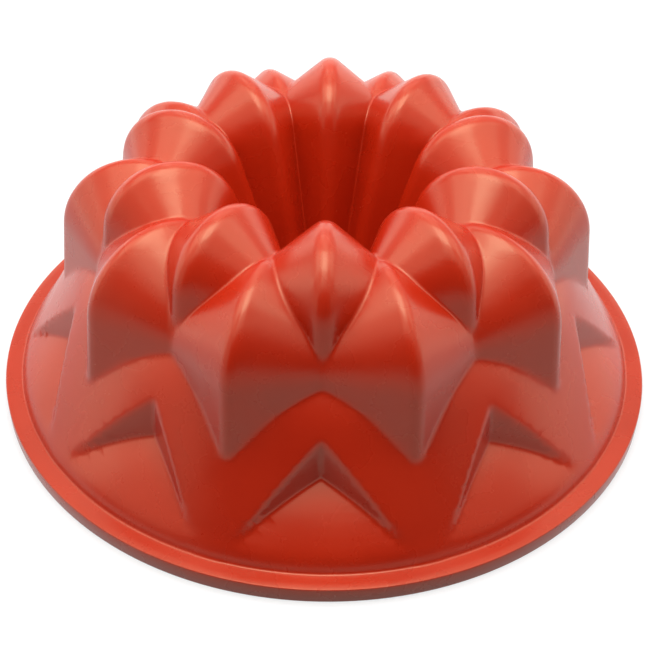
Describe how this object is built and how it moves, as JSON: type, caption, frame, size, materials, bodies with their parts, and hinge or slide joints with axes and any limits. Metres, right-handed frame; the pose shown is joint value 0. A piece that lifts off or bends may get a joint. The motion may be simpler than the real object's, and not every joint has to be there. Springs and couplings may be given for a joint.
{
  "type": "bundt pan",
  "caption": "Flexible ring cake mould with faceted lobes round an open fluted centre tube, niches low on the wall and a stiff round rim; shown inverted on its rim.",
  "frame": {"origin": "centre of the rim's flat face, on the surface that the pan stands on when it is turned over", "axes": "+Z along the pan's axis of symmetry, from the rim towards the lobes, which is down when the pan is filled; -Y towards the middle of a crown lobe; X across"},
  "size_m": [0.25, 0.25, 0.0979],
  "materials": {
    "silicone": "satin brick-red moulded silicone, smooth, with soft highlights",
    "ring_wire": "drawn stainless wire, dull"
  },
  "bodies": {
    "root": {"silicone_shell": "silicone", "rim_ring": "ring_wire"}
  },
  "joints": []
}
